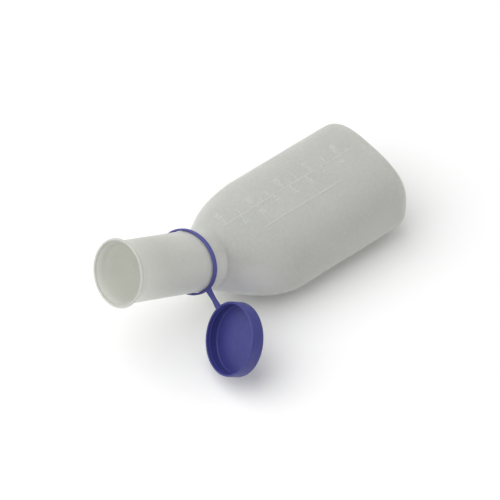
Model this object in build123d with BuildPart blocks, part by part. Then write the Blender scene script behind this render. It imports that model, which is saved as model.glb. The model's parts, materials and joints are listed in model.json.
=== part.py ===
from build123d import *
from math import cos, pi, radians, sin
import os

os.makedirs("parts", exist_ok=True)

# Urine bottle lying on its broad side, in millimetres.
# +Z is up, the mouth points to -Y and upwards, the base faces +Y, and the cap hangs on the +X side.
# The origin is the middle of the flat that the bottle rests on.

# ---- bottle: driving dimensions -------------------------------------------------
WALL = 1.5
BODY_HALF_WIDTH = 52.5
BODY_HALF_HEIGHT = 38.0
BODY_LENGTH = 116.5
BODY_SQUARENESS = 2.7  # exponent of the oval: 2 is an ellipse, more is squarer
BASE_ROUNDING = 13.5
BASE_RECESS = 1.0
BASE_RECESS_INSET = 9.0
BASE_WALL = WALL + BASE_RECESS
REST_FLAT_DEPTH = 0.8  # how much of the oval the resting flat takes off
SHOULDER_RUN = 60.5
SHOULDER_RISE = 14.6
SHOULDER_HANDLE = 15.5  # how far the shoulder's centreline keeps each end's direction
NECK_ANGLE = 28.0
NECK_RADIUS = 25.5
NECK_STRAIGHT = 90.8
FLARE_RADIUS = 14.0
FLARE_ANGLE = 32.8
LIP_RADIUS = 1.1

# ---- closure: driving dimensions ------------------------------------------------
HOOP_INNER_RADIUS = 25.75
HOOP_THICKNESS = 2.0
HOOP_WIDTH = 3.6
HOOP_EDGE_ROUNDING = 0.8
HOOP_STATION = 14.8  # along the neck from where the shoulder ends
STRAP_AZIMUTH = -20.0  # about the neck, from +X, minus is downwards
LUG_WIDTH = 6.0
STRAP_WIDTH = 4.6
STRAP_THICKNESS = 2.0
STRAP_LENGTH = 12.9  # between its two bending lines
ROOT_BEND_RADIUS = 31.0  # the root's bending line, from the neck axis
CAP_REACH = 31.8  # the cap's axis, from its bending line
CAP_TILT = 11.5  # how far the hanging cap already leans towards closing
CAP_OUTER_RADIUS = 30.4
CAP_WALL = 1.8
CAP_DEPTH = 10.7
CAP_FLOOR = 1.7
CAP_EDGE_ABOVE_STRAP = 1.2
CAP_FLOOR_FILLET = 1.2
CAP_BACK_FILLET = 2.4
CAP_RIM_FILLET = 0.8
CAP_BEAD_RADIUS = 0.9
CAP_BEAD_HEIGHT = 0.5
CAP_BEAD_FROM_FLOOR = 7.0
RUNNING_GAP = 0.05

# ---- shape of the oval and of the shoulder --------------------------------------
OUTLINE_POINTS = 32
SHOULDER_SECTIONS = 12
WIDTH_POWER = 2.6
TOP_POWER = 1.85
UNDERSIDE_POWER = 1.25
NECK_EASE = 1.2
SQUARENESS_POWER = 2.2
SEAM_STEP = 0.05  # the shoulder's last section stands this much outside the neck

# ---- places worked out from the dimensions --------------------------------------
AXIS_HEIGHT = BODY_HALF_HEIGHT - REST_FLAT_DEPTH
BASE_Y = BODY_LENGTH / 2
SHOULDER_Y = -BODY_LENGTH / 2
NECK_DIRECTION = Vector(0, -cos(radians(NECK_ANGLE)), sin(radians(NECK_ANGLE)))
NECK_BASE = Vector(0, SHOULDER_Y - SHOULDER_RUN, AXIS_HEIGHT + SHOULDER_RISE)
NECK_FRAME = Plane(origin=NECK_BASE, x_dir=(1, 0, 0), z_dir=NECK_DIRECTION)
NECK_AXIS = Axis(NECK_BASE, NECK_DIRECTION)
NECK_PROFILE = Plane(
    origin=NECK_BASE, x_dir=(1, 0, 0), z_dir=Vector(1, 0, 0).cross(NECK_DIRECTION)
)
BASE_FRAME = Plane(origin=(0, BASE_Y, AXIS_HEIGHT), x_dir=(1, 0, 0), z_dir=(0, 1, 0))
HOOP_OUTER_RADIUS = HOOP_INNER_RADIUS + HOOP_THICKNESS
STRAP_OUTWARD = (
    NECK_FRAME.x_dir * cos(radians(STRAP_AZIMUTH))
    + NECK_FRAME.y_dir * sin(radians(STRAP_AZIMUTH))
)
STRAP_SIDE = Plane(
    origin=NECK_BASE + NECK_DIRECTION * HOOP_STATION,
    x_dir=STRAP_OUTWARD,
    z_dir=STRAP_OUTWARD.cross(NECK_DIRECTION),
)
BEND_GAP = STRAP_THICKNESS / 2 + RUNNING_GAP
CAP_OUTWARD = (
    STRAP_OUTWARD * cos(radians(CAP_TILT)) + NECK_DIRECTION * sin(radians(CAP_TILT))
)
CAP_OPENING = (
    NECK_DIRECTION * cos(radians(CAP_TILT)) - STRAP_OUTWARD * sin(radians(CAP_TILT))
)
CAP_BEND_LINE = STRAP_SIDE.origin + STRAP_OUTWARD * (ROOT_BEND_RADIUS + STRAP_LENGTH)
CAP_FRAME = Plane(
    origin=CAP_BEND_LINE + CAP_OUTWARD * CAP_REACH + CAP_OPENING * CAP_EDGE_ABOVE_STRAP,
    x_dir=CAP_OUTWARD,
    z_dir=CAP_OPENING,
)
CAP_SIDE = Plane(
    origin=CAP_FRAME.origin,
    x_dir=CAP_OUTWARD,
    z_dir=CAP_OUTWARD.cross(CAP_OPENING),
)
CAP_AXIS = Axis(CAP_FRAME.origin, CAP_OPENING)

with BuildLine(Plane.YZ) as shoulder_centreline:
    Bezier(
        (SHOULDER_Y, AXIS_HEIGHT),
        (SHOULDER_Y - SHOULDER_HANDLE, AXIS_HEIGHT),
        (
            NECK_BASE.Y - SHOULDER_HANDLE * NECK_DIRECTION.Y,
            NECK_BASE.Z - SHOULDER_HANDLE * NECK_DIRECTION.Z,
        ),
        (NECK_BASE.Y, NECK_BASE.Z),
    )


def oval(plane, half_width, height_above, height_below, squareness):
    """Face with one smooth outline; x is across the bottle and y is up."""
    points = []
    for step in range(OUTLINE_POINTS):
        angle = 2 * pi * step / OUTLINE_POINTS
        across, up = cos(angle), sin(angle)
        reach = (abs(across) ** squareness + abs(up) ** squareness) ** (-1 / squareness)
        half_height = height_above if up > 0 else height_below
        points.append((half_width * reach * across, half_height * reach * up))
    with BuildSketch(plane) as face:
        with BuildLine():
            Spline(*points, periodic=True)
        make_face()
    return face.sketch


def shoulder_section(share, inset):
    """Oval at a share of the way from the body (0) to the neck (1), inset from the skin."""
    centreline = shoulder_centreline.edge()
    plane = Plane(origin=centreline @ share, x_dir=(1, 0, 0), z_dir=centreline % share)
    smallest = NECK_RADIUS + SEAM_STEP

    def half_size(full_size, power):
        return smallest + (full_size - smallest) * (1 - share**power) ** NECK_EASE - inset

    return oval(
        plane,
        half_size(BODY_HALF_WIDTH, WIDTH_POWER),
        half_size(BODY_HALF_HEIGHT, TOP_POWER),
        half_size(BODY_HALF_HEIGHT, UNDERSIDE_POWER),
        2 + (BODY_SQUARENESS - 2) * (1 - share) ** SQUARENESS_POWER,
    )


def bottle_form(inset, base_inset, neck_length):
    """Solid body, shoulder and straight neck, inset all round from the bottle's outer skin."""
    with BuildPart() as form:
        extrude(
            to_extrude=shoulder_section(0, inset),
            amount=BODY_LENGTH - base_inset,
            dir=(0, 1, 0),
        )
        fillet(form.edges().group_by(Axis.Y)[-1], BASE_ROUNDING - inset)
        loft(
            sections=[
                shoulder_section(step / SHOULDER_SECTIONS, inset)
                for step in range(SHOULDER_SECTIONS + 1)
            ]
        )
        with BuildSketch(NECK_FRAME):
            Circle(NECK_RADIUS - inset)
        extrude(amount=neck_length)
        split(bisect_by=Plane.XY.offset(inset), keep=Keep.TOP)
    return form.part


# ---- bottle: one hollow moulding ------------------------------------------------
with BuildPart() as bottle:
    add(bottle_form(inset=0, base_inset=0, neck_length=NECK_STRAIGHT))
    add(
        bottle_form(
            inset=WALL, base_inset=BASE_WALL, neck_length=NECK_STRAIGHT + LIP_RADIUS
        ),
        mode=Mode.SUBTRACT,
    )
    # trumpet mouth with a rolled lip
    with BuildSketch(NECK_PROFILE):
        with BuildLine():
            flare_centre = (NECK_RADIUS + FLARE_RADIUS, NECK_STRAIGHT)
            outer = CenterArc(flare_centre, FLARE_RADIUS, 180, -FLARE_ANGLE)
            inner = CenterArc(flare_centre, FLARE_RADIUS + WALL, 180, -FLARE_ANGLE)
            Line(outer @ 0, inner @ 0)
            Line(outer @ 1, inner @ 1)
        make_face()
        with Locations((outer @ 1 + inner @ 1) / 2):
            Circle(LIP_RADIUS)
    revolve(axis=NECK_AXIS)
    # shallow recess, so that the upright bottle stands on a rim
    extrude(
        to_extrude=oval(
            BASE_FRAME,
            BODY_HALF_WIDTH - BASE_ROUNDING - BASE_RECESS_INSET,
            BODY_HALF_HEIGHT - BASE_ROUNDING - BASE_RECESS_INSET,
            BODY_HALF_HEIGHT - BASE_ROUNDING - BASE_RECESS_INSET,
            BODY_SQUARENESS,
        ),
        amount=-BASE_RECESS,
        mode=Mode.SUBTRACT,
    )
bottle.part.label = "bottle"
export_step(bottle.part, "parts/bottle.step")

# ---- closure: hoop round the neck -----------------------------------------------
with BuildPart() as neck_ring:
    with BuildSketch(NECK_PROFILE):
        with Locations((HOOP_INNER_RADIUS + HOOP_THICKNESS / 2, HOOP_STATION)):
            RectangleRounded(HOOP_THICKNESS, HOOP_WIDTH, HOOP_EDGE_ROUNDING)
    revolve(axis=NECK_AXIS)
neck_ring.part.label = "neck_ring"
export_step(neck_ring.part, "parts/neck_ring.step")

# ---- closure: root of the strap on the hoop -------------------------------------
with BuildPart() as strap_root:
    root_end = ROOT_BEND_RADIUS - BEND_GAP
    with BuildSketch(STRAP_SIDE):
        Polygon(
            (HOOP_INNER_RADIUS, -HOOP_WIDTH / 2),
            (HOOP_OUTER_RADIUS, -HOOP_WIDTH / 2),
            (root_end, -STRAP_THICKNESS / 2),
            (root_end, STRAP_THICKNESS / 2),
            (HOOP_OUTER_RADIUS, HOOP_WIDTH / 2),
            (HOOP_INNER_RADIUS, HOOP_WIDTH / 2),
            align=None,
        )
    extrude(amount=LUG_WIDTH / 2, both=True)
    with BuildSketch(NECK_FRAME):
        Circle(HOOP_OUTER_RADIUS + RUNNING_GAP)
    extrude(amount=NECK_STRAIGHT, mode=Mode.SUBTRACT)
strap_root.part.label = "strap_root"
export_step(strap_root.part, "parts/strap_root.step")

# ---- closure: strap between its two bending lines -------------------------------
with BuildPart() as strap:
    with BuildSketch(STRAP_SIDE):
        with Locations((ROOT_BEND_RADIUS + STRAP_LENGTH / 2, 0)):
            SlotCenterToCenter(STRAP_LENGTH, STRAP_THICKNESS)
    extrude(amount=STRAP_WIDTH / 2, both=True)
strap.part.label = "strap"
export_step(strap.part, "parts/strap.step")

# ---- closure: cap ---------------------------------------------------------------
with BuildPart() as cap:
    with BuildSketch(CAP_FRAME):
        Circle(CAP_OUTER_RADIUS)
    extrude(amount=-(CAP_DEPTH + CAP_FLOOR))
    fillet(cap.edges().sort_by(CAP_AXIS)[0], CAP_BACK_FILLET)
    with BuildSketch(CAP_FRAME):
        Circle(CAP_OUTER_RADIUS - CAP_WALL)
    extrude(amount=-CAP_DEPTH, mode=Mode.SUBTRACT)
    floor_edge = cap.edges(Select.LAST).sort_by(CAP_AXIS)[0]
    fillet(floor_edge, CAP_FLOOR_FILLET)
    rim_edges = cap.edges().filter_by(GeomType.CIRCLE).group_by(CAP_AXIS)[-1]
    fillet(rim_edges, CAP_RIM_FILLET)
    # bead inside the skirt, which snaps over the bottle's lip
    with BuildSketch(CAP_SIDE):
        bead_place = (
            CAP_OUTER_RADIUS - CAP_WALL + CAP_BEAD_RADIUS - CAP_BEAD_HEIGHT,
            CAP_BEAD_FROM_FLOOR - CAP_DEPTH,
        )
        with Locations(bead_place):
            Circle(CAP_BEAD_RADIUS)
    revolve(axis=CAP_AXIS)
    # tab where the strap joins the skirt
    with BuildSketch(CAP_SIDE):
        with Locations((-(CAP_REACH - BEND_GAP), -CAP_EDGE_ABOVE_STRAP)):
            Rectangle(
                CAP_REACH - BEND_GAP - CAP_OUTER_RADIUS + CAP_WALL / 2,
                STRAP_THICKNESS,
                align=(Align.MIN, Align.CENTER),
            )
    extrude(amount=LUG_WIDTH / 2, both=True)
cap.part.label = "cap"
export_step(cap.part, "parts/cap.step")
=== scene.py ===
import json
import math

import bpy
import numpy as np
from mathutils import Matrix, Vector


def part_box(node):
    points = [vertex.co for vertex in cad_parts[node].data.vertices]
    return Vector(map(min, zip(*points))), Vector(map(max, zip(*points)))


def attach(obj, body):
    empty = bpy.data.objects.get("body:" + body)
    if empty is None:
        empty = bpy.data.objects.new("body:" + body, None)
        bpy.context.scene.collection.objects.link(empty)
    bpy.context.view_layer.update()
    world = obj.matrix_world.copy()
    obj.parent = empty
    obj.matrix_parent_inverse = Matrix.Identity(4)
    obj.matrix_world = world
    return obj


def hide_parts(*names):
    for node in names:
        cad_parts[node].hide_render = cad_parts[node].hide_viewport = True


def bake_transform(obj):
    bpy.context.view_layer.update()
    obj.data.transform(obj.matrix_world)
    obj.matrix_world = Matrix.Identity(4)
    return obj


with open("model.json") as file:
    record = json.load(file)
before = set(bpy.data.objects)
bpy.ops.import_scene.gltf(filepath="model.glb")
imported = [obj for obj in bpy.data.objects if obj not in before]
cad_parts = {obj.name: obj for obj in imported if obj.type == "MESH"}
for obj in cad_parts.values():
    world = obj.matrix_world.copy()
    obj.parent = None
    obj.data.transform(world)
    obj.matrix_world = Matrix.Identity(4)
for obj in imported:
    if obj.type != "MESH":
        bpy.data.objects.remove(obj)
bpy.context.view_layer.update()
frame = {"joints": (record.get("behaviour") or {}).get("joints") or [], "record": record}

# Shapes are worked out in millimetres, in the frame of the CAD model, and stored in metres.
MM = 0.001
X_WAY = np.array([1.0, 0.0, 0.0])


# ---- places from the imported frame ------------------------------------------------
def in_mm(point_m):
    return np.array(point_m, float) / MM


def unit(vector):
    return vector / np.linalg.norm(vector)


joints = {joint["name"]: joint for joint in frame["joints"]}
mounts = {mount["name"]: mount for mount in frame["record"]["mounts"]}
neck_bore = mounts["neck_bore"]
body_high = in_mm(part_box("bottle")[1])

NECK_WAY = unit(np.array(neck_bore["axis"], float))
NECK_UP = unit(np.cross(NECK_WAY, X_WAY))
NECK_LENGTH = neck_bore["dims"]["length_mm"]
NECK_BASE = in_mm(neck_bore["pos_m"]) - NECK_WAY * NECK_LENGTH / 2
RING_CENTRE = in_mm(joints["ring_swivel"]["pos_m"])
ROOT_BEND = in_mm(joints["strap_root_bend"]["pos_m"])
CAP_BEND = in_mm(joints["cap_bend"]["pos_m"])
BEND_AXIS = unit(np.array(joints["cap_bend"]["axis"], float))
OUTWARD = unit(ROOT_BEND - RING_CENTRE)

# ---- bottle: sizes ---------------------------------------------------------------
WALL = 1.5
NECK_RADIUS = neck_bore["dims"]["r_mm"] + WALL
BODY_HALF_WIDTH = body_high[0]
BODY_HALF_HEIGHT = 38.0
AXIS_HEIGHT = 37.2
BASE_Y = body_high[1]
SHOULDER_Y = -BASE_Y
BODY_SQUARENESS = 2.7
BASE_ROUNDING = 13.5
BASE_WALL = 2.5
RECESS_DEPTH = 1.0
RECESS_INSET = 9.0
RECESS_EDGE = 0.7
SHOULDER_HANDLE = 15.5
WIDTH_POWER, TOP_POWER, UNDERSIDE_POWER = 2.6, 1.85, 1.25
NECK_EASE = 1.2
SQUARENESS_POWER = 2.2
FLARE_RADIUS = 14.0
FLARE_ANGLE = math.radians(32.8)
FLARE_UNDER_LIP = 0.93  # share of the flare's angle where the lip takes over
LIP_RADIUS = 1.1
LIP_START, LIP_END = -38, 218  # degrees round the lip, from its outer side to its inner side
FLAT_EASE = 0.5  # softens the edge of the flat that the bottle rests on

# ---- bottle: how closely its points lie ------------------------------------------
MARKED_FROM_X, MARKED_TO_X = 22.0, -28.0
MARKED_COLUMNS, SIDE_COLUMNS, UNDERSIDE_COLUMNS = 200, 26, 90
PARTING_LINE_COLUMNS = np.array([-1.2, -0.8, -0.5, -0.25, 0, 0.25, 0.5, 0.8, 1.2])
CENTRELINE_STEPS = 801
RECESS_FLOOR_RINGS, RECESS_EDGE_RINGS, BASE_RIM_RINGS = 34, 6, 8
INNER_BASE_RINGS, BASE_ROUNDING_RINGS = 16, 22
BODY_RINGS, NECK_RINGS = 412, 50
MARKED_SHOULDER = 0.72  # share of the shoulder that the marks can reach
MARKED_SHOULDER_RINGS, PLAIN_SHOULDER_RINGS = 165, 40
INNER_BODY_RINGS, INNER_SHOULDER_RINGS, INNER_NECK_RINGS = 40, 60, 40
FLARE_RINGS, LIP_RINGS = 11, 22

# ---- bottle: raised marks --------------------------------------------------------
MARK_HEIGHT = 0.38
MARK_HALF_WIDTH = 0.42
MARK_EDGE = 0.3
MARKS_HALF_WIDTH, MARKS_END_Y = 26, -115  # marks are looked for only inside these limits
SPINE_X = -3.4
SPINE_ML = (115, 1020)
FIRST_200_ML_Y = 26.3
STEP_200_ML = 29.8
ML_TICKS = range(150, 1001, 50)
OUNCE_TICKS = range(8, 33, 4)
ML_PER_FLUID_OUNCE = 28.41
TICK_LENGTH, LONG_TICK_LENGTH = 3.2, 8.0
ML_NUMBER_GAP, OUNCE_NUMBER_GAP = 4.2, 5.2
RIB_X = 18.5
RIB_ML = (310, 850)
DIGIT_HEIGHT = 4.2
DIGIT_WIDTH, DIGIT_ADVANCE = 0.56, 0.78  # shares of the height
STROKE_REACH, FAR = 1.5, 9.0
PARTING_LINE_HEIGHT = 0.14
PARTING_LINE_HALF_WIDTH = 0.4
PARTING_LINE_EDGE = 0.3
PARTING_LINE_FROM_BASE = 6  # where the line starts, before the base's face
PINCH_HEIGHT = 0.45
PINCH_HALF_LENGTH, PINCH_HALF_WIDTH, PINCH_EDGE = 21, 0.9, 0.5
BASE_FACE_DEPTH = 1.5  # what lies this near the base's plane counts as its face
UNEVENNESS = 0.14
WAVES = [(61, 0.6, 0.1), (43, -0.8, 1.7), (29, 0.3, 4.0), (37, 1.9, 2.6)]  # length, slant, phase
WAVE_RISE = 0.7
# the waves die out towards the underside, the base and the neck: a place, and a length
WAVES_ABOVE, WAVES_BEFORE_BASE, WAVES_AFTER_NECK = (0, 8), (BASE_Y, 10), (-125, 20)

# ---- closure: sizes --------------------------------------------------------------
RING_INNER_RADIUS = 25.9
RING_THICKNESS = 1.9
RING_WIDTH = 3.6
RING_EDGE_ROUNDING = 0.75
RING_LEAN = math.radians(11.6)
RING_SIDE_LEAN = math.radians(-1.0)
RING_STEPS = 240
LUG_WIDTH = 6.0
STRAP_WIDTH = 4.6
STRAP_THICKNESS = 2.0
STRAP_EDGE_ROUNDING = 0.7
STRAP_RINGS = 40
CAP_REACH = 31.8
CAP_TILT = math.radians(11.5)
CAP_OUTER_RADIUS = 30.4
CAP_WALL = 1.8
CAP_DEPTH = 10.7
CAP_FLOOR = 1.7
CAP_EDGE_ABOVE_STRAP = 1.2
CAP_FLOOR_FILLET = 1.2
CAP_BACK_FILLET = 2.4
CAP_RIM_FILLET = 0.8
CAP_BEAD_HEIGHT = 0.5
CAP_BEAD_HALF_WIDTH = 0.45
CAP_BEAD_EDGE = 0.9
CAP_BEAD_FROM_FLOOR = 7.0
CAP_STEPS = 160
CAP_MIDDLE_HOLE = 0.3  # the profile stops this far from the axis, and a fan closes it
GATE_RECESS_RADIUS, GATE_RECESS_DEPTH, GATE_RECESS_EDGE = 5.0, 0.4, 0.4
GATE_PIP_RADIUS, GATE_PIP_HEIGHT, GATE_PIP_EDGE = 1.0, 0.32, 0.25

# ---- tones -----------------------------------------------------------------------
# Painted light and painted shade. Light coming through a milky wall and across the hollow behind
# it is painted in as lighter colour, as is light in the neck's crease and on the ring's top; shade
# is painted in as darker colour on the neck, at the lip and inside the mouth. These shares follow
# the photo's tones. A PLACE is a start or end along the neck and a length, in millimetres.
# A FACING is the same for how far the wall faces sideways and down.
NECK_PLACE = (0, 15)
BEYOND_NECK_Y = 20  # the body's top lies level with the neck too, but further back than this
# painted shade: how much darker the neck, its top, the lip and the mouth's inside are made
NECK_SHADE = 0.12
TOP_SHADE, TOP_SHADE_PLACE = 0.25, (35, 40)
LIP_SHADE, LIP_SHADE_PLACE = 0.95, (NECK_LENGTH + 4, 3)
FLARE_SHADE, FLARE_SHADE_LOW, FLARE_SHADE_PLACE = 0.7, 0.3, (NECK_LENGTH - 5, 8)
LOW_INSIDE_PLACE = (45, 35)
DEEP_LIT, DEEP_LIT_LOW, DEEP_LIT_PLACE = 0.69, 0.75, (92, 35)
RING_LIT, RING_LIT_PLACE = 0.45, (75, 55)
SIDE_PART, DOWN_PART = 0.8, 0.6
SHOULDER_LIT_PLACE, SHOULDER_LIT_FACING = (-55, 45), (-0.1, 0.8)
SHOULDER_LIT_LOSS = 0.8
CREASE_LIT, CREASE_MIDDLE, CREASE_SPREAD = 0.85, -9, 14
CREASE_FACING, CREASE_PLACE = (0.1, 0.7), (0, 3)
RING_TOP_PAINTED_LIGHT = (-0.35, 1.1)  # painted light on the ring's top, by height on the ring, as a share of its radius


# ---- small helpers ---------------------------------------------------------------
def smooth(share):
    share = np.clip(share, 0, 1)
    return share * share * (3 - 2 * share)


def rise(values, start, length):
    return smooth((values - start) / length)


def fall(values, end, length):
    return smooth((end - values) / length)


def raised(distance, half_width, edge):
    return 1 - smooth((distance - half_width + edge) / (2 * edge))


def soft_floor(height, floor):
    """Heights below a floor rise to it, with a rounded edge."""
    above = height - floor
    mix = np.clip(0.5 + 0.5 * above / FLAT_EASE, 0, 1)
    return floor + above * mix + FLAT_EASE * mix * (1 - mix) / 2


def mesh_object(name, points_mm, faces):
    mesh = bpy.data.meshes.new(name)
    mesh.from_pydata((np.asarray(points_mm) * MM).tolist(), [], faces)
    mesh.validate()
    mesh.shade_smooth()
    made = bpy.data.objects.new(name, mesh)
    bpy.context.scene.collection.objects.link(made)
    return made


def lofted_faces(rings, around):
    """Quads between rings of points, and a fan at each end to one of the two points after them."""
    faces = []
    for ring in range(rings - 1):
        low, high = ring * around, (ring + 1) * around
        for step in range(around):
            after = (step + 1) % around
            faces.append((low + step, low + after, high + after, high + step))
    first_pole, last_pole = rings * around, rings * around + 1
    last = (rings - 1) * around
    for step in range(around):
        after = (step + 1) % around
        faces.append((first_pole, after, step))
        faces.append((last_pole, last + step, last + after))
    return faces


def store_attribute(made, name, values):
    """Stores one value for each of the first points; the rest get zero."""
    attribute = made.data.attributes.new(name, "FLOAT", "POINT")
    padded = np.zeros(len(made.data.vertices), np.float32)
    padded[: len(values)] = values
    attribute.data.foreach_set("value", padded)


# ---- bottle: form ----------------------------------------------------------------
def outline(angle, squareness):
    across, up = np.cos(angle), np.sin(angle)
    reach = (np.abs(across) ** squareness + np.abs(up) ** squareness) ** (-1 / squareness)
    return reach * across, reach * up


def section_angles():
    """Directions round a section, close together where the marks and the parting line are."""
    across = np.linspace(MARKED_FROM_X, MARKED_TO_X, MARKED_COLUMNS) / BODY_HALF_WIDTH
    up = (1 - np.abs(across) ** BODY_SQUARENESS) ** (1 / BODY_SQUARENESS)
    top = np.arctan2(up, across)
    line = PARTING_LINE_COLUMNS / BODY_HALF_WIDTH
    right = np.linspace(line[-1], top[0], SIDE_COLUMNS)[1:-1]
    left = np.linspace(top[-1], math.pi + line[0], SIDE_COLUMNS)[1:-1]
    below = np.linspace(math.pi + line[-1], 2 * math.pi + line[0], UNDERSIDE_COLUMNS)[1:-1]
    return np.concatenate([line, right, top, left, math.pi + line, below])


ANGLES = section_angles()


def shoulder_centreline():
    """Centreline of the shoulder as points, directions and shares of its length."""
    start = np.array([0, SHOULDER_Y, AXIS_HEIGHT])
    points = [
        start,
        start - np.array([0, SHOULDER_HANDLE, 0]),
        NECK_BASE - NECK_WAY * SHOULDER_HANDLE,
        NECK_BASE,
    ]
    t = np.linspace(0, 1, CENTRELINE_STEPS)[:, None]
    curve = (
        points[0] * (1 - t) ** 3
        + points[1] * 3 * t * (1 - t) ** 2
        + points[2] * 3 * t**2 * (1 - t)
        + points[3] * t**3
    )
    way = np.gradient(curve, axis=0)
    way /= np.linalg.norm(way, axis=1)[:, None]
    lengths = np.concatenate([[0], np.cumsum(np.linalg.norm(np.diff(curve, axis=0), axis=1))])
    return curve, way, lengths / lengths[-1]


CENTRELINE, CENTRELINE_WAY, CENTRELINE_SHARE = shoulder_centreline()


def at_share(values, share):
    return np.array([np.interp(share, CENTRELINE_SHARE, values[:, axis]) for axis in range(3)])


def half_size(full_size, share, power):
    return NECK_RADIUS + (full_size - NECK_RADIUS) * (1 - share**power) ** NECK_EASE


def shoulder_ring(share, inset):
    centre = at_share(CENTRELINE, share)
    way = unit(at_share(CENTRELINE_WAY, share))
    up_way = np.cross(way, X_WAY)
    squareness = 2 + (BODY_SQUARENESS - 2) * (1 - share) ** SQUARENESS_POWER
    across, up = outline(ANGLES, squareness)
    width = half_size(BODY_HALF_WIDTH, share, WIDTH_POWER) - inset
    top = half_size(BODY_HALF_HEIGHT, share, TOP_POWER) - inset
    underside = half_size(BODY_HALF_HEIGHT, share, UNDERSIDE_POWER) - inset
    height = np.where(up > 0, top, underside)
    return centre + np.outer(width * across, X_WAY) + np.outer(height * up, up_way)


def level_ring(x, y, z):
    return np.stack([x, np.full_like(x, y), AXIS_HEIGHT + z], axis=1)


def body_ring(y, inset, rounding_inset=0.0):
    """Ring round the body; rounding_inset moves it in along the outline's own normal."""
    across, up = outline(ANGLES, BODY_SQUARENESS)
    power = BODY_SQUARENESS - 1
    normal_x = np.sign(across) * np.abs(across) ** power / BODY_HALF_WIDTH
    normal_z = np.sign(up) * np.abs(up) ** power / BODY_HALF_HEIGHT
    size = np.hypot(normal_x, normal_z)
    x = (BODY_HALF_WIDTH - inset) * across - rounding_inset * normal_x / size
    z = (BODY_HALF_HEIGHT - inset) * up - rounding_inset * normal_z / size
    return level_ring(x, y, z)


def recess_ring(y, share, grow=0.0):
    across, up = outline(ANGLES, BODY_SQUARENESS)
    margin = BASE_ROUNDING + RECESS_INSET
    x = ((BODY_HALF_WIDTH - margin) * share + grow) * across
    z = ((BODY_HALF_HEIGHT - margin) * share + grow) * up
    return level_ring(x, y, z)


def neck_circle(radius, station):
    across, up = outline(ANGLES, 2)
    centre = NECK_BASE + NECK_WAY * station
    return centre + radius * (np.outer(across, X_WAY) + np.outer(up, NECK_UP))


def recess_rings(base_y, rim):
    """From the middle of the recess, up its rounded edge and out to the rim of the base."""
    floor_y = base_y - RECESS_DEPTH
    rings = [recess_ring(floor_y, share) for share in np.linspace(0.04, 0.98, RECESS_FLOOR_RINGS)]
    for angle in np.linspace(0, math.pi / 2, RECESS_EDGE_RINGS):
        up = RECESS_DEPTH / 2 * (1 - math.cos(angle))
        rings.append(recess_ring(floor_y + up, 1, RECESS_EDGE / 2 * math.sin(angle)))
    for angle in np.linspace(math.pi / 2, 0, RECESS_EDGE_RINGS)[1:]:
        up = RECESS_DEPTH / 2 * (1 + math.cos(angle))
        rings.append(recess_ring(floor_y + up, 1, RECESS_EDGE * (1 - math.sin(angle) / 2)))
    inner = rings[-1]
    for share in np.linspace(0, 1, BASE_RIM_RINGS)[1:-1]:
        rings.append(inner + (rim - inner) * share)
    return rings


def base_rings(base_y, inset, rounding, recessed):
    """From the middle of the base out to where the side begins, outside or inside the wall."""
    rim = body_ring(base_y, inset, rounding)
    if recessed:
        rings = recess_rings(base_y, rim)
    else:
        middle = np.array([0, base_y, AXIS_HEIGHT])
        shares = np.linspace(0.05, 0.95, INNER_BASE_RINGS)
        rings = [middle + (rim - middle) * share for share in shares]
    for angle in np.linspace(0, math.pi / 2, BASE_ROUNDING_RINGS):
        y = base_y - rounding * (1 - math.cos(angle))
        rings.append(body_ring(y, inset, rounding * (1 - math.sin(angle))))
    return rings


def mouth_rings():
    """Trumpet mouth from the neck's outside, round the rolled lip, to its inside."""
    flare_r, flare_s = NECK_RADIUS + FLARE_RADIUS, NECK_LENGTH
    flare_angles = np.linspace(0, FLARE_ANGLE * FLARE_UNDER_LIP, FLARE_RINGS + 1)[1:]

    def flare_ring(reach, angle):
        return neck_circle(flare_r - reach * math.cos(angle), flare_s + reach * math.sin(angle))

    outer = [flare_ring(FLARE_RADIUS, angle) for angle in flare_angles]
    inner = [flare_ring(FLARE_RADIUS + WALL, angle) for angle in flare_angles[::-1]]
    middle = FLARE_RADIUS + WALL / 2
    lip_r = flare_r - middle * math.cos(FLARE_ANGLE)
    lip_s = flare_s + middle * math.sin(FLARE_ANGLE)
    side = np.array([math.cos(FLARE_ANGLE), -math.sin(FLARE_ANGLE)])
    forward = np.array([math.sin(FLARE_ANGLE), math.cos(FLARE_ANGLE)])
    lip = []
    for angle in np.radians(np.linspace(LIP_START, LIP_END, LIP_RINGS)):
        step = LIP_RADIUS * (math.cos(angle) * side + math.sin(angle) * forward)
        lip.append(neck_circle(lip_r + step[0], lip_s + step[1]))
    return outer + lip + inner


def outside_rings():
    rings = base_rings(BASE_Y, 0, BASE_ROUNDING, True)
    body = np.linspace(BASE_Y - BASE_ROUNDING, SHOULDER_Y, BODY_RINGS)[1:]
    rings += [body_ring(y, 0) for y in body]
    marked = np.linspace(0, MARKED_SHOULDER, MARKED_SHOULDER_RINGS)[1:]
    plain = np.linspace(MARKED_SHOULDER, 1, PLAIN_SHOULDER_RINGS)[1:]
    rings += [shoulder_ring(share, 0) for share in np.concatenate([marked, plain])]
    stations = np.linspace(0, NECK_LENGTH, NECK_RINGS)[1:]
    rings += [neck_circle(NECK_RADIUS, station) for station in stations]
    rings = np.array(rings)
    rings[:, :, 2] = soft_floor(rings[:, :, 2], 0)
    return rings


def inside_rings():
    rings = base_rings(BASE_Y - BASE_WALL, WALL, BASE_ROUNDING - WALL, False)
    body = np.linspace(BASE_Y - BASE_ROUNDING, SHOULDER_Y, INNER_BODY_RINGS)[1:]
    rings += [body_ring(y, WALL) for y in body]
    rings += [shoulder_ring(share, WALL) for share in np.linspace(0, 1, INNER_SHOULDER_RINGS)[1:]]
    stations = np.linspace(0, NECK_LENGTH, INNER_NECK_RINGS)[1:]
    rings += [neck_circle(NECK_RADIUS - WALL, station) for station in stations]
    rings = np.array(rings)
    rings[:, :, 2] = soft_floor(rings[:, :, 2], WALL)
    return rings[::-1]


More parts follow.
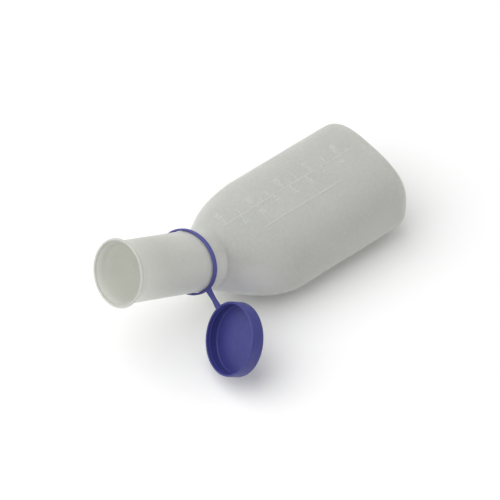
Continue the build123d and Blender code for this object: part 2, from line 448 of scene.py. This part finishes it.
def outward_normals(rings):
    along = np.gradient(rings, axis=0)
    around = (np.roll(rings, -1, axis=1) - np.roll(rings, 1, axis=1)) / 2
    normal = np.cross(along, around)
    normal /= np.maximum(np.linalg.norm(normal, axis=2, keepdims=True), 1e-9)
    on_body = len(rings) // 2
    facing = np.mean(normal[on_body, :, 2] * (rings[on_body, :, 2] - AXIS_HEIGHT))
    return normal * np.sign(facing)


# ---- bottle: raised marks --------------------------------------------------------
def arc(centre_x, centre_y, radius_x, radius_y, start, end, steps=10):
    angles = np.radians(np.linspace(start, end, steps))
    return np.stack(
        [centre_x + radius_x * np.cos(angles), centre_y + radius_y * np.sin(angles)], axis=1
    )


def line(*points):
    return np.array(points, float)


# plain stroke figures in a cell DIGIT_WIDTH wide and 1 high
FIGURES = {
    "0": [arc(0.28, 0.5, 0.28, 0.5, 0, 360, 17)],
    "1": [line((0.1, 0.78), (0.32, 1), (0.32, 0))],
    "2": [arc(0.28, 0.72, 0.28, 0.28, 160, -35), line((0.5, 0.56), (0, 0), (0.56, 0))],
    "3": [arc(0.26, 0.74, 0.26, 0.26, 150, -90), arc(0.26, 0.24, 0.3, 0.24, 90, -150)],
    "4": [line((0.42, 0), (0.42, 1), (0, 0.32), (0.56, 0.32))],
    "6": [arc(0.28, 0.3, 0.28, 0.3, 0, 360, 13), arc(0.56, 0.3, 0.56, 0.7, 180, 105, 7)],
    "8": [arc(0.28, 0.76, 0.23, 0.24, 0, 360, 13), arc(0.28, 0.27, 0.28, 0.27, 0, 360, 13)],
}


def number_strokes(text, left_x, middle_y):
    """Strokes of a number on the upper side, read with the mouth up, so it runs towards -X."""
    strokes = []
    for place, figure in enumerate(text):
        for stroke in FIGURES[figure]:
            x = left_x - (stroke[:, 0] + place * DIGIT_ADVANCE) * DIGIT_HEIGHT
            y = middle_y - (stroke[:, 1] - 0.5) * DIGIT_HEIGHT
            strokes.append(np.stack([x, y], axis=1))
    return strokes


def volume_y(millilitres):
    return FIRST_200_ML_Y - (millilitres / 200 - 1) * STEP_200_ML


def scale_strokes():
    """Spine, millilitre ticks and numbers on one side, fluid ounces and a rib on the other."""
    strokes = [line(*((SPINE_X, volume_y(end)) for end in SPINE_ML))]
    for millilitres in ML_TICKS:
        y = volume_y(millilitres)
        is_numbered = millilitres % 200 == 0
        is_long = millilitres % 100 == 0 and not is_numbered
        if is_numbered:
            strokes += number_strokes(str(millilitres), SPINE_X - ML_NUMBER_GAP, y)
        length = LONG_TICK_LENGTH if is_long else TICK_LENGTH
        strokes.append(line((SPINE_X, y), (SPINE_X - length, y)))
    for ounces in OUNCE_TICKS:
        y = volume_y(ounces * ML_PER_FLUID_OUNCE)
        text = str(ounces)
        width = ((len(text) - 1) * DIGIT_ADVANCE + DIGIT_WIDTH) * DIGIT_HEIGHT
        strokes += number_strokes(text, SPINE_X + OUNCE_NUMBER_GAP + width, y)
        strokes.append(line((SPINE_X, y), (SPINE_X + TICK_LENGTH, y)))
    strokes.append(line(*((RIB_X, volume_y(end)) for end in RIB_ML)))
    return strokes


def distance_to_strokes(x, y, strokes):
    nearest = np.full(x.shape, FAR)
    for stroke in strokes:
        low, high = stroke.min(axis=0) - STROKE_REACH, stroke.max(axis=0) + STROKE_REACH
        near = (x > low[0]) & (x < high[0]) & (y > low[1]) & (y < high[1])
        px, py = x[near], y[near]
        for start, end in zip(stroke[:-1], stroke[1:]):
            way = end - start
            share = ((px - start[0]) * way[0] + (py - start[1]) * way[1]) / (way @ way)
            share = np.clip(share, 0, 1)
            gap = np.hypot(px - start[0] - share * way[0], py - start[1] - share * way[1])
            nearest[near] = np.minimum(nearest[near], gap)
    return nearest


def mark_shares(rings):
    """One on a raised mark, zero off it."""
    x, y, z = (rings[:, :, axis] for axis in range(3))
    on_top = (z > AXIS_HEIGHT) & (np.abs(x) < MARKS_HALF_WIDTH)
    on_top &= (y < BASE_Y - BASE_ROUNDING) & (y > MARKS_END_Y)
    distance = np.full(x.shape, FAR)
    distance[on_top] = distance_to_strokes(x[on_top], y[on_top], scale_strokes())
    return raised(distance, MARK_HALF_WIDTH, MARK_EDGE)


def unevenness(points):
    """Slow waves that a blown wall has, from -1 to 1."""
    total = 0
    for length, slant, phase in WAVES:
        way = np.array([math.cos(slant), math.sin(slant), WAVE_RISE])
        total = total + np.sin(points @ way * 2 * math.pi / length + phase)
    return total / len(WAVES)


def raised_height(rings, marks):
    """Height of everything that stands proud of the plain form, in millimetres."""
    x, y, z = (rings[:, :, axis] for axis in range(3))
    from_side = np.abs(((ANGLES + math.pi / 2) % math.pi) - math.pi / 2) * BODY_HALF_WIDTH
    parting = raised(from_side, PARTING_LINE_HALF_WIDTH, PARTING_LINE_EDGE)[None, :]
    parting = parting * (y < BASE_Y - PARTING_LINE_FROM_BASE)
    from_pinch = np.hypot(np.maximum(np.abs(x) - PINCH_HALF_LENGTH, 0), z - AXIS_HEIGHT)
    pinch = raised(from_pinch, PINCH_HALF_WIDTH, PINCH_EDGE) * (y > BASE_Y - BASE_FACE_DEPTH)
    wavy = rise(z, *WAVES_ABOVE) * fall(y, *WAVES_BEFORE_BASE) * rise(y, *WAVES_AFTER_NECK)
    return (
        MARK_HEIGHT * marks
        + PARTING_LINE_HEIGHT * parting
        + PINCH_HEIGHT * pinch
        + UNEVENNESS * unevenness(rings) * wavy
    )


def store_bottle_tones(made, points, is_inside, normals):
    """Shares for the material: painted shade where the wall is made darker, and painted light
    where light comes through it.
    """
    along = (points - NECK_BASE) @ NECK_WAY
    on_neck = rise(along, *NECK_PLACE) * (points[:, 1] < NECK_BASE[1] + BEYOND_NECK_Y)
    is_outside = 1 - is_inside
    lowness = 0.5 - 0.5 * np.clip((points - NECK_BASE) @ NECK_UP / NECK_RADIUS, -1, 1)

    # painted shade: darker colour on the neck and its top, at the lip and inside the mouth
    on_top = is_outside * on_neck * (1 - lowness) ** 2 * rise(along, *TOP_SHADE_PLACE)
    in_flare = is_inside * (FLARE_SHADE + FLARE_SHADE_LOW * lowness) * rise(along, *FLARE_SHADE_PLACE)
    shade_parts = [
        NECK_SHADE * on_neck + TOP_SHADE * on_top,
        LIP_SHADE * rise(along, *LIP_SHADE_PLACE),
        in_flare,
        is_inside * lowness**2 * rise(along, *LOW_INSIDE_PLACE),
    ]
    store_attribute(made, "painted_shade", np.maximum.reduce(shade_parts))

    facing = np.zeros(len(points))
    outside_facing = SIDE_PART * np.abs(normals[:, :, 0]) - DOWN_PART * normals[:, :, 2]
    facing[: outside_facing.size] = outside_facing.ravel()
    # painted light: lighter deep inside the neck, on the neck by the ring, and on the shoulder
    # where it faces sideways and down
    deep = is_inside * on_neck * fall(along, *DEEP_LIT_PLACE) * (1 - DEEP_LIT_LOW * lowness)
    by_ring = is_outside * on_neck * fall(along, *RING_LIT_PLACE)
    shoulder = is_outside * rise(along, *SHOULDER_LIT_PLACE) * (1 - SHOULDER_LIT_LOSS * on_neck)
    shoulder = shoulder * rise(facing, *SHOULDER_LIT_FACING)
    store_attribute(made, "painted_light", DEEP_LIT * deep + RING_LIT * by_ring + shoulder)

    # painted light in the crease where the neck meets the shoulder
    crease = np.exp(-(((along - CREASE_MIDDLE) / CREASE_SPREAD) ** 2))
    crease = crease * rise(facing, *CREASE_FACING) * fall(along, *CREASE_PLACE)
    store_attribute(made, "lit_crease", CREASE_LIT * crease * is_outside)


def bottle_object():
    """Rings from the middle of the base, up the outside, over the lip and down the inside."""
    outside, mouth, inside = outside_rings(), np.array(mouth_rings()), inside_rings()
    normals = outward_normals(outside)
    marks = mark_shares(outside)
    outside = outside + normals * raised_height(outside, marks)[:, :, None]

    rings = np.concatenate([outside, mouth, inside])
    poles = np.array([
        [0, BASE_Y - RECESS_DEPTH + PINCH_HEIGHT, AXIS_HEIGHT],
        [0, BASE_Y - BASE_WALL, AXIS_HEIGHT],
    ])
    points = np.concatenate([rings.reshape(-1, 3), poles])
    made = mesh_object("bottle_moulding", points, lofted_faces(len(rings), len(ANGLES)))
    store_attribute(made, "raised_mark", marks.ravel())
    is_inside = np.zeros(len(points))
    is_inside[(len(outside) + len(mouth) - FLARE_RINGS) * len(ANGLES) : -len(poles)] = 1
    store_bottle_tones(made, points, is_inside, normals)
    return made


# ---- closure: ring with its lug --------------------------------------------------
def rounded_rectangle(width, height, radius):
    """Outline of a rounded rectangle about the origin, anticlockwise."""
    points = []
    for corner in range(4):
        sign_x = 1 if corner in (0, 3) else -1
        sign_y = 1 if corner in (0, 1) else -1
        centre = (sign_x * (width / 2 - radius), sign_y * (height / 2 - radius))
        for turn in np.linspace(0, math.pi / 2, 5):
            angle = math.pi / 2 * corner + turn
            points.append((
                centre[0] + radius * math.cos(angle),
                centre[1] + radius * math.sin(angle),
            ))
    return np.array(points)


RING_MIDDLE_RADIUS = RING_INNER_RADIUS + RING_THICKNESS / 2
RING_RISE = RING_MIDDLE_RADIUS * math.tan(RING_LEAN)


def ring_object():
    """Loose hoop, leaning on the neck that it hugs: its lug side lies nearer the body."""
    section = rounded_rectangle(RING_THICKNESS, RING_WIDTH, RING_EDGE_ROUNDING)
    radius = RING_MIDDLE_RADIUS + section[:, 0]
    rings = []
    for turn in np.linspace(0, 2 * math.pi, RING_STEPS + 1)[:-1]:
        across, aside = math.cos(turn), math.sin(turn)
        radial = OUTWARD * across + BEND_AXIS * aside
        slope = math.tan(RING_LEAN) * across + math.tan(RING_SIDE_LEAN) * aside
        station = RING_RISE - radius * slope + section[:, 1]
        rings.append(RING_CENTRE + np.outer(radius, radial) + np.outer(station, NECK_WAY))
    points = np.array(rings).reshape(-1, 3)
    around = len(section)
    faces = []
    for ring in range(RING_STEPS):
        low, high = ring * around, (ring + 1) % RING_STEPS * around
        for step in range(around):
            after = (step + 1) % around
            faces.append((low + step, low + after, high + after, high + step))
    made = mesh_object("closure_ring", points, faces)
    # painted light: the ring is lighter towards its top
    height = (points - RING_CENTRE) @ NECK_UP / RING_MIDDLE_RADIUS
    store_attribute(made, "painted_light", rise(height, *RING_TOP_PAINTED_LIGHT))
    return made


# ---- closure: strap --------------------------------------------------------------
def strap_stretch(name, start, end, start_width, end_width):
    """Flat strap along OUTWARD, between two distances from the neck's axis."""
    rings = []
    for distance in np.linspace(start, end, STRAP_RINGS):
        share = smooth((distance - start) / (end - start))
        width = start_width + (end_width - start_width) * share
        section = rounded_rectangle(STRAP_THICKNESS, width, STRAP_EDGE_ROUNDING)
        place = RING_CENTRE + OUTWARD * distance
        spread = np.outer(section[:, 0], NECK_WAY) + np.outer(section[:, 1], BEND_AXIS)
        rings.append(place + spread)
    rings = np.array(rings)
    poles = np.array([rings[0].mean(axis=0), rings[-1].mean(axis=0)])
    points = np.concatenate([rings.reshape(-1, 3), poles])
    return mesh_object(name, points, lofted_faces(len(rings), rings.shape[1]))


# ---- closure: cap ----------------------------------------------------------------
def fillet_points(radius, centre_r, centre_h, start, end, steps):
    """Points of a quarter circle after its first one."""
    angles = np.radians(np.linspace(start, end, steps))[1:]
    return [(centre_r + radius * math.cos(a), centre_h + radius * math.sin(a)) for a in angles]


def cap_profile():
    """Half section of the cap as (radius, height above the open edge), from back to floor."""
    outer, inner = CAP_OUTER_RADIUS, CAP_OUTER_RADIUS - CAP_WALL
    back = -(CAP_DEPTH + CAP_FLOOR)

    # recess and pip left by the moulding gate, then the plain back
    near = np.linspace(CAP_MIDDLE_HOLE, GATE_RECESS_RADIUS + 0.6, 36)
    recess = GATE_RECESS_DEPTH * raised(near, GATE_RECESS_RADIUS, GATE_RECESS_EDGE)
    pip = GATE_PIP_HEIGHT * raised(near, GATE_PIP_RADIUS, GATE_PIP_EDGE)
    points = list(zip(near, back + recess - pip))
    points += [(r, back) for r in np.linspace(near[-1], outer - CAP_BACK_FILLET, 18)[1:]]

    # rounded up the outside, over the rim and down the inside past the bead
    points += fillet_points(
        CAP_BACK_FILLET, outer - CAP_BACK_FILLET, back + CAP_BACK_FILLET, -90, 0, 9
    )
    side = np.linspace(back + CAP_BACK_FILLET, -CAP_RIM_FILLET, 8)[1:]
    points += [(outer, height) for height in side]
    points += fillet_points(CAP_RIM_FILLET, outer - CAP_RIM_FILLET, -CAP_RIM_FILLET, 0, 90, 7)
    points += fillet_points(CAP_RIM_FILLET, inner + CAP_RIM_FILLET, -CAP_RIM_FILLET, 90, 180, 7)
    bead_height = CAP_BEAD_FROM_FLOOR - CAP_DEPTH
    for height in np.linspace(-CAP_RIM_FILLET, CAP_FLOOR_FILLET - CAP_DEPTH, 40)[1:]:
        bead = raised(abs(height - bead_height), CAP_BEAD_HALF_WIDTH, CAP_BEAD_EDGE)
        points.append((inner - CAP_BEAD_HEIGHT * bead, height))

    # rounded into the floor
    points += fillet_points(
        CAP_FLOOR_FILLET, inner - CAP_FLOOR_FILLET, CAP_FLOOR_FILLET - CAP_DEPTH, 0, -90, 10
    )
    floor = np.linspace(inner - CAP_FLOOR_FILLET, 2 * CAP_MIDDLE_HOLE, 24)[1:]
    points += [(r, -CAP_DEPTH) for r in floor]
    return np.array(points)


def cap_object():
    outward = OUTWARD * math.cos(CAP_TILT) + NECK_WAY * math.sin(CAP_TILT)
    opening = NECK_WAY * math.cos(CAP_TILT) - OUTWARD * math.sin(CAP_TILT)
    centre = CAP_BEND + outward * CAP_REACH + opening * CAP_EDGE_ABOVE_STRAP
    profile = cap_profile()
    turns = np.linspace(0, 2 * math.pi, CAP_STEPS + 1)[:-1]
    radial = np.outer(np.cos(turns), outward) + np.outer(np.sin(turns), BEND_AXIS)
    rings = np.array([centre + radius * radial + height * opening for radius, height in profile])
    poles = np.array([centre + opening * profile[end, 1] for end in (0, -1)])
    points = np.concatenate([rings.reshape(-1, 3), poles])
    return mesh_object("closure_cap", points, lofted_faces(len(rings), len(turns)))


# ---- materials -------------------------------------------------------------------
class Nodes:
    """Builds a material's node tree with short calls."""

    def __init__(self, name):
        self.material = bpy.data.materials.new(name)
        self.material.use_nodes = True
        self.tree = self.material.node_tree
        self.shader = next(n for n in self.tree.nodes if n.type == "BSDF_PRINCIPLED")
        self.coordinates = self.tree.nodes.new("ShaderNodeTexCoord").outputs["Object"]

    def link(self, output, socket):
        self.tree.links.new(output, socket)

    def set(self, **values):
        """Shader inputs by name, with _ for a space; a value is a number, a tuple or an output."""
        for name, value in values.items():
            socket = self.shader.inputs[name.replace("_", " ")]
            if isinstance(value, bpy.types.NodeSocket):
                self.link(value, socket)
            else:
                socket.default_value = value

    def noise(self, scale, detail=3.0, roughness=0.5, stretch=None):
        node = self.tree.nodes.new("ShaderNodeTexNoise")
        node.inputs["Scale"].default_value = scale
        node.inputs["Detail"].default_value = detail
        node.inputs["Roughness"].default_value = roughness
        source = self.coordinates
        if stretch:
            mapping = self.tree.nodes.new("ShaderNodeMapping")
            mapping.inputs["Scale"].default_value = stretch
            self.link(source, mapping.inputs["Vector"])
            source = mapping.outputs["Vector"]
        self.link(source, node.inputs["Vector"])
        return node.outputs["Fac"]

    def remap(self, value, low, high, from_low=0.3, from_high=0.7):
        node = self.tree.nodes.new("ShaderNodeMapRange")
        node.inputs["From Min"].default_value = from_low
        node.inputs["From Max"].default_value = from_high
        node.inputs["To Min"].default_value = low
        node.inputs["To Max"].default_value = high
        self.link(value, node.inputs["Value"])
        return node.outputs["Result"]

    def mix_colour(self, factor, first, second):
        node = self.tree.nodes.new("ShaderNodeMix")
        node.data_type = "RGBA"
        colours = [socket for socket in node.inputs if socket.type == "RGBA"]
        for socket, value in zip(colours, (first, second)):
            if isinstance(value, tuple):
                socket.default_value = (*value, 1)
            else:
                self.link(value, socket)
        self.link(factor, next(socket for socket in node.inputs if socket.type == "VALUE"))
        return next(output for output in node.outputs if output.type == "RGBA")

    def attribute(self, name):
        node = self.tree.nodes.new("ShaderNodeAttribute")
        node.attribute_name = name
        return node.outputs["Fac"]

    def pointiness(self):
        return self.tree.nodes.new("ShaderNodeNewGeometry").outputs["Pointiness"]

    def bump(self, height, strength, distance, normal=None):
        node = self.tree.nodes.new("ShaderNodeBump")
        node.inputs["Strength"].default_value = strength
        node.inputs["Distance"].default_value = distance
        self.link(height, node.inputs["Height"])
        if normal is not None:
            self.link(normal, node.inputs["Normal"])
        return node.outputs["Normal"]


MILKY, MILKY_DARKER, MILKY_SPECK = (0.525, 0.53, 0.48), (0.485, 0.495, 0.445), (0.575, 0.58, 0.535)
# the first tone below is painted shade; the second, and the crease tone after it, are painted
# light
MILKY_SHADED, MILKY_LIT = (0.40, 0.405, 0.375), (0.76, 0.768, 0.70)
MILKY_CREASE, MILKY_MARK = (0.97, 0.965, 0.86), (0.61, 0.615, 0.57)
BLUE, BLUE_DARKER = (0.049, 0.051, 0.235), (0.042, 0.044, 0.205)
# the first tone below is painted light on the ring's top
BLUE_LIT, BLUE_WORN = (0.075, 0.077, 0.275), (0.13, 0.135, 0.36)
FLOOR_TONE, FLOOR_PALER = (0.94, 0.94, 0.94), (0.96, 0.96, 0.96)
SPECK_SHARE = 0.8
FULL_MARK = 0.5  # share of a mark's height from which it has its whole colour
WORN_SHARE, WORN_FROM, WORN_TO = 0.45, 0.52, 0.60


def bottle_material():
    n = Nodes("natural_polyethylene")
    cloudy = n.remap(n.noise(22, 2), 0, 1)
    colour = n.mix_colour(cloudy, MILKY, MILKY_DARKER)
    mottle = n.remap(n.noise(420, 4, 0.6), 0, SPECK_SHARE)
    colour = n.mix_colour(mottle, colour, MILKY_SPECK)
    # painted shade, then painted light through the wall and in the crease
    colour = n.mix_colour(n.attribute("painted_shade"), colour, MILKY_SHADED)
    colour = n.mix_colour(n.attribute("painted_light"), colour, MILKY_LIT)
    colour = n.mix_colour(n.attribute("lit_crease"), colour, MILKY_CREASE)
    marked = n.remap(n.attribute("raised_mark"), 0, FULL_MARK, 0, 1)
    colour = n.mix_colour(marked, colour, MILKY_MARK)
    grain = n.bump(n.noise(1400, 3, 0.6), strength=0.12, distance=0.0002)
    scratches = n.noise(220, 5, 0.7, stretch=(1, 0.06, 1))
    n.set(
        Base_Color=colour,
        Roughness=n.remap(n.noise(70, 5), 0.46, 0.62),
        Specular_IOR_Level=0.3,
        Subsurface_Weight=1.0,
        Subsurface_Radius=(1.0, 1.0, 0.95),
        Subsurface_Scale=0.009,
        Normal=n.bump(scratches, strength=0.10, distance=0.0003, normal=grain),
    )
    return n.material


def closure_material():
    n = Nodes("blue_polyethylene")
    cloudy = n.remap(n.noise(60, 3), 0, 1)
    colour = n.mix_colour(cloudy, BLUE, BLUE_DARKER)
    # painted light on the ring's top
    colour = n.mix_colour(n.attribute("painted_light"), colour, BLUE_LIT)
    worn = n.remap(n.pointiness(), 0, WORN_SHARE, WORN_FROM, WORN_TO)
    colour = n.mix_colour(worn, colour, BLUE_WORN)
    n.set(
        Base_Color=colour,
        Roughness=n.remap(n.noise(240, 4), 0.36, 0.50),
        Specular_IOR_Level=0.35,
        Subsurface_Weight=0.12,
        Subsurface_Radius=(0.5, 0.5, 1.0),
        Subsurface_Scale=0.002,
        Normal=n.bump(n.noise(1800, 3, 0.6), strength=0.15, distance=0.0002),
    )
    return n.material


def floor_material():
    n = Nodes("pale_floor")
    tone = n.remap(n.noise(3, 2), 0, 1)
    n.set(
        Base_Color=n.mix_colour(tone, FLOOR_TONE, FLOOR_PALER),
        Roughness=0.9,
        Specular_IOR_Level=0.1,
    )
    return n.material


# ---- pieces ----------------------------------------------------------------------
def dress(piece, material, nodes=()):
    piece.data.materials.append(material)
    if nodes:
        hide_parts(*nodes)


def blend_over(piece):
    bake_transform(piece)


def blend_at_bend(piece):
    blend_over(piece)


def add_bottle():
    moulding = bottle_object()
    dress(moulding, bottle_material(), ["bottle"])
    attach(moulding, "bottle")


def add_ring(material):
    """Builds the ring, gives it the closure's material, hides the CAD ring and strap root, and
    bakes its place into its points.
    """
    ring = ring_object()
    dress(ring, material, ["neck_ring", "strap_root"])
    blend_over(ring)


def add_strap(material):
    root_distance = np.linalg.norm(ROOT_BEND - RING_CENTRE)
    cap_distance = np.linalg.norm(CAP_BEND - RING_CENTRE)
    middle = (root_distance + cap_distance) / 2
    end = cap_distance + CAP_REACH - CAP_OUTER_RADIUS + CAP_WALL / 2
    inner = strap_stretch("strap_inner_half", RING_MIDDLE_RADIUS, middle, LUG_WIDTH, STRAP_WIDTH)
    dress(inner, material, ["strap"])
    blend_at_bend(inner)
    outer = strap_stretch("strap_outer_half", middle, end, STRAP_WIDTH, LUG_WIDTH)
    dress(outer, material)
    blend_at_bend(outer)


def add_cap(material):
    cap = cap_object()
    dress(cap, material, ["cap"])
    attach(cap, "cap")


# ---- studio ----------------------------------------------------------------------
FLOOR_HALF_SIZE, FLOOR_SQUARES, FLOOR_DROP = 8000, 8, 0.02
KEY_SIZE, KEY_ENERGY = 3.2, 46
KEY_LEFT, KEY_UP, KEY_BACK = 1.1, 1.9, 0.3
KEY_TARGET = Vector((0, -0.05, 0.04))
SKY_STRENGTH = 0.64
CAMERA_AZIMUTH = math.radians(50.91)
CAMERA_ELEVATION = math.radians(48.5)
CAMERA_DISTANCE = 3.06
CAMERA_LENS = 265.7
CAMERA_TARGET = Vector((0, -0.01745, 0.0349))
AIM_RIGHT, AIM_UP = -0.0432, -0.0298

camera_back = Vector((
    math.sin(CAMERA_AZIMUTH) * math.cos(CAMERA_ELEVATION),
    -math.cos(CAMERA_AZIMUTH) * math.cos(CAMERA_ELEVATION),
    math.sin(CAMERA_ELEVATION),
))
camera_right = Vector((math.cos(CAMERA_AZIMUTH), math.sin(CAMERA_AZIMUTH), 0))
camera_up = camera_back.cross(camera_right)


def add_floor():
    side = FLOOR_SQUARES + 1
    steps = np.linspace(-FLOOR_HALF_SIZE, FLOOR_HALF_SIZE, side)
    points = [(x, y, -FLOOR_DROP) for y in steps for x in steps]
    faces = []
    for row in range(FLOOR_SQUARES):
        for column in range(FLOOR_SQUARES):
            corner = row * side + column
            faces.append((corner, corner + 1, corner + side + 1, corner + side))
    made = mesh_object("studio_floor", points, faces)
    made.data.materials.append(floor_material())


def add_camera():
    data = bpy.data.cameras.new("camera")
    data.lens = CAMERA_LENS
    data.clip_start, data.clip_end = 0.05, 100
    camera = bpy.data.objects.new("camera", data)
    bpy.context.scene.collection.objects.link(camera)
    camera.location = CAMERA_TARGET + camera_back * CAMERA_DISTANCE
    aimed_at = CAMERA_TARGET + camera_right * AIM_RIGHT + camera_up * AIM_UP
    back = (camera.location - aimed_at).normalized()
    right = (camera_right - back * camera_right.dot(back)).normalized()
    turned = Matrix((right, back.cross(right), back)).transposed()
    camera.rotation_mode = "QUATERNION"
    camera.rotation_quaternion = turned.to_quaternion()
    bpy.context.scene.camera = camera


def add_key_light():
    data = bpy.data.lights.new("key", "AREA")
    data.shape = "DISK"
    data.size = KEY_SIZE
    data.energy = KEY_ENERGY
    light = bpy.data.objects.new("key", data)
    bpy.context.scene.collection.objects.link(light)
    light.location = (
        KEY_TARGET - camera_right * KEY_LEFT + Vector((0, 0, KEY_UP)) + camera_back * KEY_BACK
    )
    light.rotation_mode = "QUATERNION"
    light.rotation_quaternion = (KEY_TARGET - light.location).to_track_quat("-Z", "Y")


def add_sky():
    world = bpy.data.worlds.new("studio")
    world.use_nodes = True
    background = next(n for n in world.node_tree.nodes if n.type == "BACKGROUND")
    background.inputs["Color"].default_value = (1, 1, 1, 1)
    background.inputs["Strength"].default_value = SKY_STRENGTH
    bpy.context.scene.world = world


add_bottle()
closure_plastic = closure_material()
add_ring(closure_plastic)
add_cap(closure_plastic)
add_strap(closure_plastic)
add_floor()
add_camera()
add_key_light()
add_sky()
bpy.context.scene.view_settings.view_transform = "Standard"
